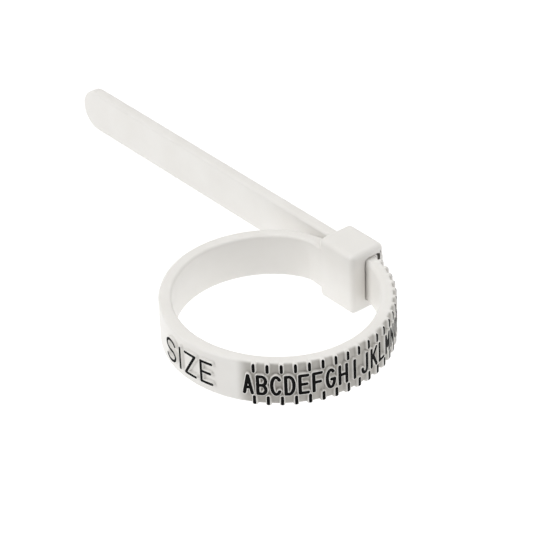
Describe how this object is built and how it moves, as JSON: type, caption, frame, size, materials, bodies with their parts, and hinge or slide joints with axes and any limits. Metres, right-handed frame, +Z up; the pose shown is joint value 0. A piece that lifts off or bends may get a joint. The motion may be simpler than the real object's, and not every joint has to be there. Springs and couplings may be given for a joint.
{
  "type": "adjustable ring sizer",
  "caption": "White plastic strap looped through its own square buckle, with raised black ring-size letters round the loop and a long plain tail.",
  "frame": {"origin": "centre of the buckle's flat bottom face", "axes": "+X along the buckle's slot towards the free tail, +Y from the buckle to the middle of the loop, +Z up through the ring"},
  "size_m": [0.058, 0.0243, 0.0069],
  "materials": {
    "plastic": "satin moulded white plastic",
    "ink": "black ink on raised characters"
  },
  "bodies": {
    "buckle": {"buckle": "plastic"},
    "tail": {"tail": "plastic", "size_U": "ink", "size_V": "ink", "size_W": "ink", "size_X": "ink", "size_Y": "ink", "size_Z": "ink"},
    "strap_link_08": {"strap_link_08": "plastic", "size_N": "ink", "size_O": "ink", "size_P": "ink", "size_Q": "ink", "size_R": "ink", "size_S": "ink", "size_T": "ink"},
    "strap_link_07": {"strap_link_07": "plastic", "size_G": "ink", "size_H": "ink", "size_I": "ink", "size_J": "ink", "size_K": "ink", "size_L": "ink", "size_M": "ink"},
    "strap_link_06": {"strap_link_06": "plastic", "size_A": "ink", "size_B": "ink", "size_C": "ink", "size_D": "ink", "size_E": "ink", "size_F": "ink"},
    "strap_link_05": {"strap_link_05": "plastic", "word_S": "ink", "word_I": "ink", "word_Z": "ink", "word_E": "ink"},
    "strap_link_04": {"strap_link_04": "plastic"},
    "strap_link_03": {"strap_link_03": "plastic"},
    "strap_link_02": {"strap_link_02": "plastic"},
    "strap_link_01": {"strap_link_01": "plastic"}
  },
  "joints": [
    {"name": "strap_slide", "type": "slide", "parent": "buckle", "child": "tail", "axis": [-1, 0, 0], "range_m": [0, 0.00625]},
    {"name": "strap_flex_08", "type": "hinge", "parent": "tail", "child": "strap_link_08", "pos_m": [-0.00429, 0.00015, 0.00345], "axis": [0, 0, 1], "range_deg": [-7.4, 0.2]},
    {"name": "strap_flex_07", "type": "hinge", "parent": "strap_link_08", "child": "strap_link_07", "pos_m": [-0.01069, 0.00561, 0.00345], "axis": [0, 0, 1], "range_deg": [-5.3, 0.2]},
    {"name": "strap_flex_06", "type": "hinge", "parent": "strap_link_07", "child": "strap_link_06", "pos_m": [-0.01153, 0.01389, 0.00345], "axis": [0, 0, 1], "range_deg": [-0.2, 2.8]},
    {"name": "strap_flex_05", "type": "hinge", "parent": "strap_link_06", "child": "strap_link_05", "pos_m": [-0.00583, 0.02007, 0.00345], "axis": [0, 0, 1], "range_deg": [-0.2, 8.5]},
    {"name": "strap_flex_04", "type": "hinge", "parent": "strap_link_05", "child": "strap_link_04", "pos_m": [0.00265, 0.02055, 0.00345], "axis": [0, 0, 1], "range_deg": [-0.2, 8.5]},
    {"name": "strap_flex_03", "type": "hinge", "parent": "strap_link_04", "child": "strap_link_03", "pos_m": [0.00893, 0.01554, 0.00345], "axis": [0, 0, 1], "range_deg": [-0.2, 3.8]},
    {"name": "strap_flex_02", "type": "hinge", "parent": "strap_link_03", "child": "strap_link_02", "pos_m": [0.00998, 0.00764, 0.00345], "axis": [0, 0, 1], "range_deg": [-3.6, 0.2]},
    {"name": "strap_flex_01", "type": "hinge", "parent": "strap_link_02", "child": "strap_link_01", "pos_m": [0.00479, 0.00165, 0.00345], "axis": [0, 0, 1], "range_deg": [-7.2, 0.2]}
  ],
  "couplings": [
    {"joint": "strap_flex_08", "follows": "strap_slide", "rad_per_m": -20.235},
    {"joint": "strap_flex_07", "follows": "strap_slide", "rad_per_m": -14.214},
    {"joint": "strap_flex_06", "follows": "strap_slide", "rad_per_m": 7.1402},
    {"joint": "strap_flex_05", "follows": "strap_slide", "rad_per_m": 23.042},
    {"joint": "strap_flex_04", "follows": "strap_slide", "rad_per_m": 23.274},
    {"joint": "strap_flex_03", "follows": "strap_slide", "rad_per_m": 10.019},
    {"joint": "strap_flex_02", "follows": "strap_slide", "rad_per_m": -9.4421},
    {"joint": "strap_flex_01", "follows": "strap_slide", "rad_per_m": -19.583}
  ]
}
